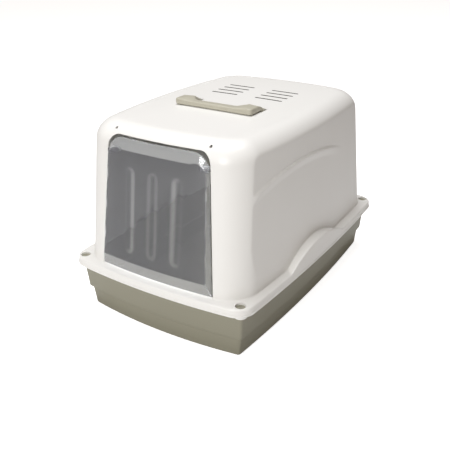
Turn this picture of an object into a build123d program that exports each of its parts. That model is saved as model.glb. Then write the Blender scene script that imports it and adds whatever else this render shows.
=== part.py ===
"""Covered litter box: a tray, a hood with a roof filter, a clear swing door and a folding handle.

Millimetres. +Z is up, the entrance faces -Y, and the origin is under the middle of the box,
on the floor that the tray stands on.
"""
from build123d import *
from math import cos, radians, sin, tan
import os

os.makedirs("parts", exist_ok=True)

# Plan of the flange that hood and tray share
flange_length = 560.0
flange_width = 380.0
end_bow = 13.0
side_bow = 9.5
flange_corner_radius = 26.0

# Heights
tray_bottom = 0.0
skirt_bottom = 90.0
ledge_height = 104.0
roof_height = 352.0

# Hood wall
wall = 3.0
ledge_width = 17.0
hood_corner_radius = 42.0
roof_edge_radius = 34.0
side_lean = 2.7
side_bulge = 1.6
front_lean = 6.0
rear_lean = 9.0
bead_height = 3.5
bead_depth = 1.5
bead_round = 1.3
ledge_edge_radius = 4.0

# Sunk panel and embossed arc in each side of the hood
panel_recess = 2.5
panel_margin = 27.0
panel_top = 328.0
panel_corner_radius = 30.0
arc_radius = 480.0
arc_top = 291.0
arc_centre_y = -35.0
arc_thickness = 9.0
arc_half_length = 185.0
arc_relief = 1.6

# Arch over the ledge, half way along each side
arch_centre_y = -17.0
arch_half_span = 108.0
arch_height = 132.0

# Entrance and its door
opening_top = 336.0
opening_half_width_top = 99.0
opening_half_width_bottom = 115.0
opening_corner_radius = 22.0
door_clearance = 2.5
door_skin = 2.5
sheet_bottom = 74.0
door_corner_radius = 28.0
door_raise_top = 4.5
door_raise_bottom = 9.0
door_bevel_top = 18.0
door_lip_height = 22.0
door_bevel_side_top = 2.0
door_bevel_side_bottom = 6.5
door_drop_below_top = 24.0
door_axis_depth = 13.5
flute_width = 30.0
flute_pitch = 48.0
flute_depth = 1.0
flute_top = 295.0
flute_bottom = 140.0

# Door pivots
door_pin_radius = 2.0
door_pin_fit = 0.05
knuckle_radius = 4.5
knuckle_length = 16.0
bracket_gap = 2.2
bracket_thickness = 4.0
bracket_radius = 7.0
pin_head_radius = 3.2
pin_head_thickness = 2.0
front_hole_radius = 2.4
front_hole_x = 92.0
front_hole_height = 341.5

# Corner holes of the flange and the tray's pegs
hole_inset_x = 27.0
hole_inset_y = 29.0
hole_radius = 8.6
boss_wall = 2.2
boss_drop = 5.0
peg_clearance = 0.4
peg_top_drop = 2.5

# Vents
vent_length = 56.0
vent_width = 4.0
vent_pitch = 21.5
vent_rows = 4
vent_group_x = 47.0
vent_centre_y = 66.0

# Handle
handle_width = 156.0
handle_front_y = -81.0
handle_bar_depth = 18.0
handle_arm_width = 24.0
handle_thickness = 10.5
handle_rest_gap = 0.5
handle_pivot_y = -38.0
handle_pivot_drop = 5.0
handle_knuckle_radius = 7.0
handle_stub_radius = 3.0
handle_stub_length = 4.0
handle_fit = 0.05
handle_side_gap = 1.0
handle_edge_radius = 3.0
cup_front_y = -48.0
cup_rear_y = -25.0
cup_depth = 14.0
cup_side_wall = 5.0
cup_floor = 2.5

# Filter holder under the vents
filter_half_width = 98.0
filter_front_y = 6.0
filter_rear_y = 108.0
filter_depth = 8.0
filter_floor = 2.0
filter_wall = 2.0
filter_roof_gap = 4.0
filter_mat_thickness = 5.5
filter_mat_clearance = 1.0
filter_slot_width = 5.0
filter_slot_pitch = 14.0
filter_axis_gap = 10.0
filter_axis_drop = 2.0
filter_ear_x = 78.0
filter_ear_width = 6.0
filter_ear_radius = 4.5
filter_pin_radius = 2.2
filter_pin_fit = 0.06
filter_lug_gap = 0.6
filter_lug_thickness = 4.0
filter_lug_radius = 5.0

# Tray
tray_wall = 3.0
tray_top_inset = 12.0
tray_step_inset = 17.0
tray_step_height = 38.0
tray_step_depth = 3.0
tray_step_rise = 2.5
tray_bottom_inset = 22.0
tray_corner_radius = 12.0
tray_bottom_radius = 5.5
rim_width = 6.0
rim_height = 3.0
post_radius = 10.0
post_height = 12.0
post_gap = 0.5
post_clearance = 1.1
peg_root = 1.0

# Worked-out places
half_x = flange_width / 2
half_y = flange_length / 2
ledge_underside = ledge_height - wall
front_y = -half_y + ledge_width
rear_y = half_y - ledge_width
hole_x = half_x - hole_inset_x
hole_y = half_y - hole_inset_y
corners = [(sx * hole_x, sy * hole_y) for sx in (-1, 1) for sy in (-1, 1)]
boss_radius = hole_radius + boss_wall
roof_underside = roof_height - wall
ledge_front = Plane(origin=(0, 0, ledge_height), x_dir=(1, 0, 0), z_dir=(0, -1, 0))


def plan(width_half, front, rear, corner, bow_x=side_bow, bow_y=end_bow):
    """Rounded rectangle in plan whose four sides bow outwards, between y = front and y = rear."""
    x = width_half - bow_x
    y_front, y_rear = front + bow_y, rear - bow_y
    middle = (front + rear) / 2
    with BuildSketch() as face:
        with BuildLine():
            ThreePointArc((-x, y_front), (0, front), (x, y_front))
            ThreePointArc((x, y_front), (width_half, middle), (x, y_rear))
            ThreePointArc((x, y_rear), (0, rear), (-x, y_rear))
            ThreePointArc((-x, y_rear), (-width_half, middle), (-x, y_front))
        make_face()
        fillet(face.vertices(), radius=corner)
    return face.sketch


def inset_plan(inset, corner=flange_corner_radius):
    """The flange's plan, drawn in by inset all round."""
    return plan(half_x - inset, -half_y + inset, half_y - inset, corner - inset)


def hood_plan(height, inset):
    """The hood's plan at a height, drawn in by inset: walls lean in as they rise, and the sides bulge."""
    rise = height - ledge_height
    bulge = rise * tan(radians(side_bulge))
    return plan(
        half_x - ledge_width - rise * tan(radians(side_lean)) + bulge - inset,
        front_y + rise * tan(radians(front_lean)) + inset,
        rear_y - rise * tan(radians(rear_lean)) - inset,
        hood_corner_radius - inset,
        bow_x=side_bow + bulge,
    )


def hood_body(inset, bottom):
    """Solid hood from bottom to roof, drawn in by inset all over, with a rounded roof edge."""
    with BuildPart() as body:
        for height in (bottom, roof_height - inset):
            with BuildSketch(Plane.XY.offset(height)):
                add(hood_plan(height, inset))
        loft(ruled=True)
        fillet(body.faces().sort_by(Axis.Z)[-1].edges(), radius=roof_edge_radius - inset)
    return body.part


def side_panel(grow):
    """Prism across both sides over the sunk panel, grown all round by grow."""
    rise = panel_top - ledge_height
    with BuildPart() as prism:
        with BuildSketch(Plane.YZ) as face:
            with BuildLine():
                Polyline(
                    (front_y + panel_margin - grow, ledge_underside),
                    (front_y + panel_margin - grow + rise * tan(radians(front_lean)), panel_top + grow),
                    (rear_y - panel_margin + grow - rise * tan(radians(rear_lean)), panel_top + grow),
                    (rear_y - panel_margin + grow, ledge_underside),
                    close=True,
                )
            make_face()
            fillet(face.vertices().group_by(Axis.Z)[-1], radius=panel_corner_radius + grow)
        extrude(amount=half_x, both=True)
    return prism.part


def arch_prism(inset):
    """Prism across both sides under the arch of the ledge, drawn in by inset."""
    span = arch_half_span - inset
    crown = arch_height - inset
    with BuildPart() as prism:
        with BuildSketch(Plane.YZ):
            with BuildLine():
                front_end = (arch_centre_y - span, ledge_height - inset)
                rear_end = (arch_centre_y + span, ledge_height - inset)
                ThreePointArc(front_end, (arch_centre_y, crown), rear_end)
                Polyline(
                    rear_end,
                    (arch_centre_y + span, skirt_bottom + bead_height),
                    (arch_centre_y - span, skirt_bottom + bead_height),
                    front_end,
                )
            make_face()
        extrude(amount=half_x, both=True)
    return prism.part


def flange_block(inset, bottom, top, edge=0.0):
    """Upright block with the flange's plan drawn in by inset, and its upper edge rounded by edge."""
    with BuildPart() as block:
        with BuildSketch(Plane.XY.offset(bottom)):
            add(inset_plan(inset))
        extrude(amount=top - bottom)
        if edge > 0:
            fillet(block.faces().sort_by(Axis.Z)[-1].edges(), radius=edge)
    return block.part


def arc_ridge():
    """Thin crescent along the side of the hood, which stands up from the sunk panel."""
    centre_z = arc_top - arc_radius
    drop = arc_radius - (arc_radius**2 - arc_half_length**2) ** 0.5
    with BuildPart() as prism:
        with BuildSketch(Plane.YZ):
            with BuildLine():
                start = (arc_centre_y - arc_half_length, centre_z + arc_radius - drop)
                end = (arc_centre_y + arc_half_length, centre_z + arc_radius - drop)
                ThreePointArc(start, (arc_centre_y, arc_top), end)
                ThreePointArc(end, (arc_centre_y, arc_top - arc_thickness), start)
            make_face()
        extrude(amount=half_x, both=True)
    return prism.part


def entrance_outline(side_in, top_in, bottom_in, corner, taper=0.0, stretch=1.0):
    """Entrance in elevation, from the ledge up: it widens downwards, and its top corners are round."""
    low = bottom_in * stretch
    high = (opening_top - ledge_height - top_in) * stretch
    with BuildSketch() as face:
        with BuildLine():
            Polyline(
                (-opening_half_width_bottom + side_in + taper, low),
                (opening_half_width_bottom - side_in - taper, low),
                (opening_half_width_top - side_in, high),
                (-opening_half_width_top + side_in, high),
                close=True,
            )
        make_face()
        fillet(face.vertices().group_by(Axis.Y)[-1], radius=corner)
    return face.sketch


def front_body(bottom_out, top_out):
    """Block behind a bowed, leaning sheet: the entrance wall's face, moved out at bottom and top."""
    low, high = sheet_bottom, roof_height
    with BuildPart() as block:
        for height, out in ((low, bottom_out), (high, top_out)):
            y = front_y + (height - ledge_height) * tan(radians(front_lean)) - out
            edge_x = half_x - ledge_width - side_bow - (height - ledge_height) * tan(radians(side_lean))
            with BuildSketch(Plane.XY.offset(height)):
                with BuildLine():
                    ThreePointArc((-edge_x, y + end_bow), (0, y), (edge_x, y + end_bow))
                    Polyline((edge_x, y + end_bow), (edge_x, 0), (-edge_x, 0), (-edge_x, y + end_bow))
                make_face()
        loft(ruled=True)
    return block.part


# Hood: a thin moulded shell with a flange, an entrance, vents and seats for what it carries
hood_outer = hood_body(0, ledge_underside)
hood_sunk = hood_body(panel_recess, ledge_underside)
cabin = hood_body(wall, skirt_bottom)
cabin_sunk = hood_body(wall + panel_recess, skirt_bottom)
cabin -= side_panel(wall) - cabin_sunk

door_axis_height = opening_top - door_clearance - door_drop_below_top
door_axis_y = front_y + (door_axis_height - ledge_height) * tan(radians(front_lean)) + door_axis_depth
door_edge_x = (
    opening_half_width_top
    + (opening_top - door_axis_height)
    * (opening_half_width_bottom - opening_half_width_top)
    / (opening_top - ledge_height)
    - door_clearance
)
bracket_x = door_edge_x + door_clearance + bracket_gap
filter_axis_y = filter_rear_y + filter_axis_gap
filter_top = roof_underside - filter_roof_gap
filter_axis_height = filter_top - filter_axis_drop
filter_lug_x = filter_ear_x + filter_ear_width + filter_lug_gap
handle_pivot_height = roof_height - handle_pivot_drop
handle_arm_centre = (handle_width - handle_arm_width) / 2
cup_half_width = handle_arm_width / 2 + handle_side_gap

with BuildPart() as hood:
    add(hood_outer - (side_panel(0) - hood_sunk))
    add(flange_block(bead_depth, skirt_bottom, ledge_height, ledge_edge_radius))
    add(flange_block(0, skirt_bottom, skirt_bottom + bead_height, bead_round))
    add(flange_block(bead_depth, skirt_bottom, arch_height) & arch_prism(0))
    add(
        (arc_ridge() & side_panel(0))
        & (hood_body(panel_recess - arc_relief, ledge_underside) - hood_body(wall, ledge_underside))
    )
    add(cabin, mode=Mode.SUBTRACT)
    add(flange_block(bead_depth + wall, skirt_bottom, ledge_underside), mode=Mode.SUBTRACT)
    add(flange_block(bead_depth + wall, skirt_bottom, arch_height) & arch_prism(wall), mode=Mode.SUBTRACT)
    # Corner bosses, with the holes that show the tray's pegs
    with BuildSketch(Plane.XY.offset(skirt_bottom - boss_drop)):
        with Locations(corners):
            Circle(boss_radius)
    extrude(amount=ledge_height - skirt_bottom + boss_drop)
    with BuildSketch(Plane.XY.offset(skirt_bottom - boss_drop)):
        with Locations(corners):
            Circle(hole_radius)
    extrude(amount=ledge_height - skirt_bottom + boss_drop, mode=Mode.SUBTRACT)
    # Handle cups under the roof
    for side in (-1, 1):
        cup_centre_y = (cup_front_y + cup_rear_y) / 2
        cup_length = cup_rear_y - cup_front_y
        with BuildSketch(Plane.XY.offset(roof_height - wall / 2)):
            with Locations((side * handle_arm_centre, cup_centre_y)):
                Rectangle(2 * (cup_half_width + cup_side_wall), cup_length + 2 * cup_floor)
        extrude(amount=-(cup_depth + cup_floor - wall / 2))
        with BuildSketch(Plane.XY.offset(roof_height)):
            with Locations((side * handle_arm_centre, cup_centre_y)):
                Rectangle(2 * cup_half_width, cup_length)
        extrude(amount=-cup_depth, mode=Mode.SUBTRACT)
        with BuildSketch(Plane.YZ.offset(side * handle_arm_centre)):
            with Locations((handle_pivot_y, handle_pivot_height)):
                Circle(handle_stub_radius + handle_fit)
        stub_hole = cup_half_width + handle_stub_length
        extrude(amount=stub_hole, both=True, mode=Mode.SUBTRACT)
    # Vents
    with BuildSketch(Plane.XY.offset(roof_height)):
        for side in (-1, 1):
            with Locations((side * vent_group_x, vent_centre_y)):
                with GridLocations(1, vent_pitch, 1, vent_rows):
                    SlotOverall(vent_length, vent_width)
    extrude(amount=-2 * wall, mode=Mode.SUBTRACT)
    # Entrance, and the small holes beside its top corners
    with BuildSketch(ledge_front):
        add(entrance_outline(0, 0, 0, opening_corner_radius))
    extrude(amount=half_y, mode=Mode.SUBTRACT)
    with BuildSketch(Plane.XZ):
        with Locations((-front_hole_x, front_hole_height), (front_hole_x, front_hole_height)):
            Circle(front_hole_radius)
    extrude(amount=half_y, mode=Mode.SUBTRACT)

bracket_solids = []
for side in (-1, 1):
    # Door bracket: a lug behind the entrance wall, bored for the pin
    with BuildPart() as bracket:
        with BuildSketch(Plane.YZ.offset(side * (bracket_x + bracket_thickness / 2))):
            with Locations((door_axis_y, door_axis_height)):
                Circle(bracket_radius)
            with Locations((door_axis_y - bracket_radius, door_axis_height)):
                Rectangle(2 * bracket_radius, 2 * bracket_radius)
        extrude(amount=bracket_thickness / 2, both=True)
        add(hood_body(wall / 2, ledge_underside), mode=Mode.INTERSECT)
        with BuildSketch(Plane.YZ.offset(side * bracket_x)):
            with Locations((door_axis_y, door_axis_height)):
                Circle(door_pin_radius + door_pin_fit)
        extrude(amount=side * bracket_thickness, mode=Mode.SUBTRACT)
    # Filter lug: it hangs from the roof beside the cover's ear
    with BuildPart() as filter_lug:
        with BuildSketch(Plane.YZ.offset(side * (filter_lug_x + filter_lug_thickness / 2))):
            with Locations((filter_axis_y, filter_axis_height)):
                Circle(filter_lug_radius)
            with Locations((filter_axis_y, (filter_axis_height + roof_height - wall / 2) / 2)):
                Rectangle(2 * filter_lug_radius, roof_height - wall / 2 - filter_axis_height)
            with Locations((filter_axis_y, filter_axis_height)):
                Circle(filter_pin_radius + filter_pin_fit, mode=Mode.SUBTRACT)
        extrude(amount=filter_lug_thickness / 2, both=True)
    bracket_solids += [bracket.part, filter_lug.part]

with BuildPart() as hood_shell:
    add(hood.part)
    for solid in bracket_solids:
        add(solid)
hood_shell.part.label = "hood_shell"
export_step(hood_shell.part, "parts/hood_shell.step")

# Tray: two stepped tiers, a rim and four corner pegs
tray_levels = [
    (ledge_underside, tray_top_inset),
    (tray_step_height + tray_step_rise, tray_step_inset),
    (tray_step_height, tray_step_inset + tray_step_depth),
    (tray_bottom, tray_bottom_inset),
]


def tray_body(inset, bottom):
    """Solid tray of two leaning tiers, drawn in by inset, with a rounded bottom edge."""
    levels = tray_levels[:-1] + [(bottom, tray_bottom_inset)]
    with BuildPart() as body:
        for upper, lower in zip(levels, levels[1:]):
            for height, level_inset in (upper, lower):
                with BuildSketch(Plane.XY.offset(height)):
                    add(inset_plan(level_inset + inset, tray_corner_radius + level_inset))
            loft(ruled=True)
        fillet(body.faces().sort_by(Axis.Z)[0].edges(), radius=tray_bottom_radius - inset)
    return body.part


tray_outer = tray_body(0, tray_bottom)
post_bottom = skirt_bottom - boss_drop - post_gap - post_height
post_top = post_bottom + post_height
with BuildPart() as post:
    with BuildSketch(Plane.XY.offset(post_bottom)):
        with Locations(corners):
            Circle(post_radius)
    extrude(amount=post_height)

with BuildPart() as litter_tray:
    add(tray_outer)
    with BuildSketch(Plane.XY.offset(ledge_underside - rim_height)):
        add(inset_plan(tray_top_inset - rim_width, tray_corner_radius + tray_top_inset))
    extrude(amount=rim_height)
    add(tray_body(tray_wall, tray_bottom + tray_wall), mode=Mode.SUBTRACT)
    with BuildSketch(Plane.XY.offset(ledge_underside - rim_height)):
        add(inset_plan(tray_top_inset + tray_wall, tray_corner_radius + tray_top_inset))
    extrude(amount=rim_height, mode=Mode.SUBTRACT)
    with BuildSketch(Plane.XY.offset(post_top)):
        with Locations(corners):
            Circle(boss_radius + post_clearance)
    extrude(amount=ledge_height - post_top, mode=Mode.SUBTRACT)
    add(post.part)
    with BuildSketch(Plane.XY.offset(post_top - peg_root)):
        with Locations(corners):
            Circle(hole_radius - peg_clearance)
    extrude(amount=ledge_height - peg_top_drop - post_top + peg_root)
litter_tray.part.label = "litter_tray"
export_step(litter_tray.part, "parts/litter_tray.step")

# Door: one clear moulded sheet, bowed like the wall, with a raised panel and three flutes


def door_bevel(inset):
    """Raised panel's block: its outline shrinks evenly from the wall's face out to the panel's."""
    mean_raise = (door_raise_top + door_raise_bottom) / 2
    lean = radians(front_lean)
    wall_plane = Plane(origin=(0, front_y, ledge_height), x_dir=(1, 0, 0), z_dir=(0, -cos(lean), sin(lean)))
    with BuildPart() as block:
        for share in (-2, 2):
            with BuildSketch(wall_plane.offset(share * mean_raise)):
                outline = entrance_outline(
                    door_clearance + share * door_bevel_side_top + inset,
                    door_clearance + share * door_bevel_top + inset,
                    door_clearance + share * door_lip_height + inset,
                    door_corner_radius,
                    taper=share * (door_bevel_side_bottom - door_bevel_side_top),
                    stretch=1 / cos(lean),
                )
                add(outline)
        loft(ruled=True)
    return block.part


def door_web(side):
    """Block between the sheet and the knuckle at one side."""
    with BuildPart() as web:
        with BuildSketch(Plane.YZ.offset(side * (door_edge_x - knuckle_length / 2))):
            with Locations((door_axis_y - 2 * knuckle_radius, door_axis_height)):
                Rectangle(4 * knuckle_radius, 1.4 * knuckle_radius)
        extrude(amount=knuckle_length / 2, both=True)
    return web.part


with BuildPart() as door_blank:
    with BuildSketch(ledge_front):
        add(entrance_outline(door_clearance, door_clearance, door_clearance, door_corner_radius))
    extrude(amount=half_y)
sheet = front_body(0, 0) - front_body(-door_skin, -door_skin)
panel_front = front_body(door_raise_bottom, door_raise_top)
panel_back = front_body(door_raise_bottom - door_skin, door_raise_top - door_skin)
panel_outer = (door_bevel(0) & panel_front) & door_blank.part
flute_face = front_body(door_raise_bottom - flute_depth, door_raise_top - flute_depth)
with BuildPart() as flutes:
    with BuildSketch(Plane.XZ):
        with Locations((0, (flute_top + flute_bottom) / 2)):
            with GridLocations(flute_pitch, 1, 3, 1):
                SlotOverall(flute_top - flute_bottom, flute_width, rotation=90)
    extrude(amount=half_y)

with BuildPart() as door_flap:
    add(door_blank.part & sheet)
    add(panel_outer - front_body(-door_skin, -door_skin))
    add(door_bevel(door_skin) & panel_back, mode=Mode.SUBTRACT)
    add(flutes.part - flute_face, mode=Mode.SUBTRACT)
    for side in (-1, 1):
        # Knuckle for the pin, on a web behind the sheet
        add(door_web(side) & (panel_outer + (door_blank.part & front_body(0, 0))))
        with BuildSketch(Plane.YZ.offset(side * (door_edge_x - knuckle_length / 2))):
            with Locations((door_axis_y, door_axis_height)):
                Circle(knuckle_radius)
        extrude(amount=knuckle_length / 2, both=True)
        with BuildSketch(Plane.YZ.offset(side * (door_edge_x - knuckle_length / 2))):
            with Locations((door_axis_y, door_axis_height)):
                Circle(door_pin_radius + door_pin_fit)
        extrude(amount=knuckle_length / 2, both=True, mode=Mode.SUBTRACT)
door_flap.part.label = "door_flap"
export_step(door_flap.part, "parts/door_flap.step")

# Door pins: each runs from the hood's bracket into the door's knuckle, with a head outside
for name, side in (("left", -1), ("right", 1)):
    with BuildPart() as pin:
        with BuildSketch(Plane.YZ.offset(side * (door_edge_x - knuckle_length))):
            with Locations((door_axis_y, door_axis_height)):
                Circle(door_pin_radius)
        extrude(amount=side * (bracket_x + bracket_thickness - door_edge_x + knuckle_length))
        with BuildSketch(Plane.YZ.offset(side * (bracket_x + bracket_thickness))):
            with Locations((door_axis_y, door_axis_height)):
                Circle(pin_head_radius)
        extrude(amount=side * pin_head_thickness)
    pin.part.label = f"door_pin_{name}"
    export_step(pin.part, f"parts/door_pin_{name}.step")

# Handle: a flat bail that folds forward onto the roof
handle_bottom = roof_height + handle_rest_gap
handle_top = handle_bottom + handle_thickness
with BuildPart() as carry_handle:
    with BuildSketch(Plane.XY.offset(handle_bottom)):
        with Locations((0, handle_front_y + handle_bar_depth / 2)):
            RectangleRounded(handle_width, handle_bar_depth, 2 * handle_edge_radius)
    extrude(amount=handle_thickness)
    fillet(carry_handle.faces().sort_by(Axis.Z)[-1].edges(), radius=handle_edge_radius)
    for side in (-1, 1):
        arm_plane = Plane.YZ.offset(side * handle_arm_centre)
        with BuildSketch(arm_plane):
            with BuildLine():
                Polyline(
                    (handle_front_y + handle_bar_depth / 2, handle_bottom),
                    (handle_front_y + handle_bar_depth / 2, handle_top),
                    (handle_pivot_y - 2 * handle_knuckle_radius, handle_top),
                    (handle_pivot_y + handle_knuckle_radius / 2, handle_bottom + handle_edge_radius),
                    (handle_pivot_y + handle_knuckle_radius / 2, handle_bottom),
                    close=True,
                )
            make_face()
            with Locations((handle_pivot_y, handle_pivot_height)):
                Circle(handle_knuckle_radius)
        extrude(amount=handle_arm_width / 2, both=True)
        with BuildSketch(arm_plane):
            with Locations((handle_pivot_y, handle_pivot_height)):
                Circle(handle_stub_radius)
        extrude(amount=cup_half_width + handle_stub_length - 2 * handle_fit, both=True)
carry_handle.part.label = "carry_handle"
export_step(carry_handle.part, "parts/carry_handle.step")

# Filter cover: a shallow slotted pan that hinges down from the roof, and its carbon mat
filter_length = filter_rear_y - filter_front_y
filter_centre = Location((0, (filter_front_y + filter_rear_y) / 2))
slot_count = int((2 * filter_half_width - 4 * filter_wall) / filter_slot_pitch)
with BuildPart() as filter_cover:
    with BuildSketch(Plane.XY.offset(filter_top - filter_depth)):
        with Locations(filter_centre):
            RectangleRounded(2 * filter_half_width, filter_length, 3 * filter_wall)
    extrude(amount=filter_depth)
    with BuildSketch(Plane.XY.offset(filter_top)):
        with Locations(filter_centre):
            RectangleRounded(
                2 * (filter_half_width - filter_wall), filter_length - 2 * filter_wall, 2 * filter_wall
            )
    extrude(amount=filter_floor - filter_depth, mode=Mode.SUBTRACT)
    with BuildSketch(Plane.XY.offset(filter_top)):
        with Locations(filter_centre):
            with GridLocations(filter_slot_pitch, 1, slot_count, 1):
                SlotOverall(filter_length - 6 * filter_wall, filter_slot_width, rotation=90)
    extrude(amount=-2 * filter_depth, mode=Mode.SUBTRACT)
    for side in (-1, 1):
        ear_plane = Plane.YZ.offset(side * (filter_ear_x + filter_ear_width / 2))
        with BuildSketch(ear_plane):
            with Locations((filter_axis_y, filter_axis_height)):
                Circle(filter_ear_radius)
            with Locations((filter_axis_y - filter_axis_gap / 2, filter_axis_height - filter_ear_radius / 2)):
                Rectangle(filter_axis_gap, filter_ear_radius)
        extrude(amount=filter_ear_width / 2, both=True)
        with BuildSketch(ear_plane):
            with Locations((filter_axis_y, filter_axis_height)):
                Circle(filter_pin_radius)
        extrude(amount=side * (filter_ear_width / 2 + filter_lug_gap + filter_lug_thickness))
filter_cover.part.label = "filter_cover"
export_step(filter_cover.part, "parts/filter_cover.step")

mat_inset = filter_wall + filter_mat_clearance
with BuildPart() as carbon_filter:
    with BuildSketch(Plane.XY.offset(filter_top - filter_depth + filter_floor)):
        with Locations(filter_centre):
            RectangleRounded(2 * (filter_half_width - mat_inset), filter_length - 2 * mat_inset, filter_wall)
    extrude(amount=filter_mat_thickness)
carbon_filter.part.label = "carbon_filter"
export_step(carbon_filter.part, "parts/carbon_filter.step")
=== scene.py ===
# %% [markdown]
# A covered litter box in moulded plastic: a white hood, a taupe tray, a clear smoky swing door and a
# folding handle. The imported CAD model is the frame. This script dresses it: each shell is a surface
# worked out with numpy, and each plastic is a node material.

import bpy
import numpy as np
from mathutils import Matrix, Vector


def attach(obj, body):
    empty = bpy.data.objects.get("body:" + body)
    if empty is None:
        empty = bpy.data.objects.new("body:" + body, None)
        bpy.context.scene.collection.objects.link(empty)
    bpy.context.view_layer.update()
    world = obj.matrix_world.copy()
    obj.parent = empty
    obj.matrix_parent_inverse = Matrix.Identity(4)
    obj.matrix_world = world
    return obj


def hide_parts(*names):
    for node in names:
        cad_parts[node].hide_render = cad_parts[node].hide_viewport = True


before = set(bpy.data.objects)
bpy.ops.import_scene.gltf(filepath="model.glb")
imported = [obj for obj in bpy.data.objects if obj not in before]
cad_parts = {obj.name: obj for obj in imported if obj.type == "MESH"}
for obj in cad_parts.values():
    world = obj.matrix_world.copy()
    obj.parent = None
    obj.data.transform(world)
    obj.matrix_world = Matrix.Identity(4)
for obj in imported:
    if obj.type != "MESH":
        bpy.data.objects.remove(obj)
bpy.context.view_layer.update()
MM = 0.001

# %% [markdown]
# The camera stands to the right of the entrance, a little above the roof. Its direction and distance
# come from the vanishing lines of the flange and the roof, so the render can lie over the photograph.

# %% Camera
CAMERA_AZIMUTH = 32.8
CAMERA_ELEVATION = 25.3
CAMERA_DISTANCE = 1.2793
CAMERA_TARGET = np.array([-0.0265, 0.0, 0.095])
CAMERA_ROLL = -0.4
CAMERA_LENS = 51.17


def camera_axes(azimuth, elevation, roll):
    """Right, up and back directions of a camera: back points from the target to the camera."""
    az, el, turn = np.radians([azimuth, elevation, roll])
    back = np.array([np.sin(az) * np.cos(el), -np.cos(az) * np.cos(el), np.sin(el)])
    right = np.array([np.cos(az), np.sin(az), 0.0])
    up = np.cross(back, right)
    return right * np.cos(turn) + up * np.sin(turn), up * np.cos(turn) - right * np.sin(turn), back


right, up, back = camera_axes(CAMERA_AZIMUTH, CAMERA_ELEVATION, CAMERA_ROLL)
camera_data = bpy.data.cameras.new("camera")
camera_data.lens = CAMERA_LENS
camera_data.sensor_width = 36.0
camera = bpy.data.objects.new("camera", camera_data)
turn = Matrix((Vector(right), Vector(up), Vector(back))).transposed().to_4x4()
camera.matrix_world = Matrix.Translation(Vector(CAMERA_TARGET + back * CAMERA_DISTANCE)) @ turn
bpy.context.collection.objects.link(camera)
bpy.context.scene.camera = camera
bpy.context.scene.view_settings.view_transform = "Standard"

# %% [markdown]
# The world, the floor and every material are node trees. A few helpers place a node with its settings and
# links in one call, so that each material below reads as a list of what it is made of.


# %% Node helpers
def new_node(tree, kind, inputs=(), **settings):
    """Shader node with its settings. Each input takes a value, or a link where a socket is given."""
    node = tree.nodes.new("ShaderNode" + kind)
    for name, value in settings.items():
        setattr(node, name, value)
    for name, value in dict(inputs).items():
        if isinstance(value, bpy.types.NodeSocket):
            tree.links.new(value, node.inputs[name])
        else:
            node.inputs[name].default_value = value
    return node


def worked_out(tree, operation, first, second):
    """Value of a maths node with two inputs."""
    return new_node(tree, "Math", {0: first, 1: second}, operation=operation).outputs[0]


def mixed_colour(tree, factor, first, second):
    """Colour that goes from first to second as the factor goes from 0 to 1."""
    mix = new_node(tree, "Mix", {"Factor": factor, "A": first, "B": second}, data_type="RGBA")
    return mix.outputs["Result"]


def empty_tree(owner):
    """Node tree of a new world or material, without the nodes that it starts with."""
    owner.use_nodes = True
    owner.node_tree.nodes.clear()
    return owner.node_tree


def principled(name):
    """New material, its node tree and its Principled shader."""
    material = bpy.data.materials.new(name)
    material.use_nodes = True
    return material, material.node_tree, material.node_tree.nodes["Principled BSDF"]


# %% [markdown]
# A pale studio: one broad lamp in front, above and a little to the right, a cooler one over the roof, and
# a world whose warm light fills the shadows. The floor is plain. It looks brighter to the camera than it is
# to the object, so the picture's ground is white without more light on the plastic.

# %% Lamps, world and floor
FLOOR_SIZE = 24.0
FLOOR_GLOW = 0.80
FLOOR_COLOUR = (0.86, 0.86, 0.86, 1)
LAMP_AIM = (0, 0, 0.2)
KEY_PLACE, KEY_SIZE, KEY_POWER = (0.3, -2.7, 1.5), 1.2, 47
TOP_PLACE, TOP_SIZE, TOP_POWER = (-0.3, 0.2, 2.6), 1.4, 52
TOP_COLOUR = (0.95, 0.97, 1.0)
FILL_COLOUR, FILL_STRENGTH = (1.0, 0.85, 0.73, 1), 0.195


def area_lamp(name, place, size, power, colour=(1, 1, 1)):
    """Square area lamp at a place, turned to face the object."""
    data = bpy.data.lights.new(name, "AREA")
    data.size = size
    data.energy = power
    data.color = colour
    lamp = bpy.data.objects.new(name, data)
    lamp.location = place
    lamp.rotation_euler = (Vector(LAMP_AIM) - Vector(place)).to_track_quat("-Z", "Y").to_euler()
    bpy.context.collection.objects.link(lamp)


area_lamp("key_lamp", KEY_PLACE, KEY_SIZE, KEY_POWER)
area_lamp("top_lamp", TOP_PLACE, TOP_SIZE, TOP_POWER, TOP_COLOUR)


def studio_world():
    """White to the camera and through the clear door, and a dimmer warm tone as light."""
    world = bpy.data.worlds.new("studio")
    tree = empty_tree(world)
    rays = new_node(tree, "LightPath").outputs
    seen = worked_out(tree, "MAXIMUM", rays["Is Camera Ray"], rays["Is Transmission Ray"])
    fill = new_node(tree, "Background", {"Color": FILL_COLOUR, "Strength": FILL_STRENGTH})
    white = new_node(tree, "Background", {"Color": (1, 1, 1, 1)})
    mix = new_node(tree, "MixShader", {0: seen, 1: fill.outputs[0], 2: white.outputs[0]})
    new_node(tree, "OutputWorld", {"Surface": mix.outputs[0]})
    return world


bpy.context.scene.world = studio_world()


def floor_material():
    """Matt white that also glows a little to the camera, so that it reads as a white ground."""
    material = bpy.data.materials.new("studio_floor")
    tree = empty_tree(material)
    rays = new_node(tree, "LightPath").outputs
    diffuse = new_node(tree, "BsdfDiffuse", {"Color": FLOOR_COLOUR})
    strength = worked_out(tree, "MULTIPLY", rays["Is Camera Ray"], FLOOR_GLOW)
    glow = new_node(tree, "Emission", {"Strength": strength})
    total = new_node(tree, "AddShader", {0: diffuse.outputs[0], 1: glow.outputs[0]})
    new_node(tree, "OutputMaterial", {"Surface": total.outputs[0]})
    return material


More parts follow.
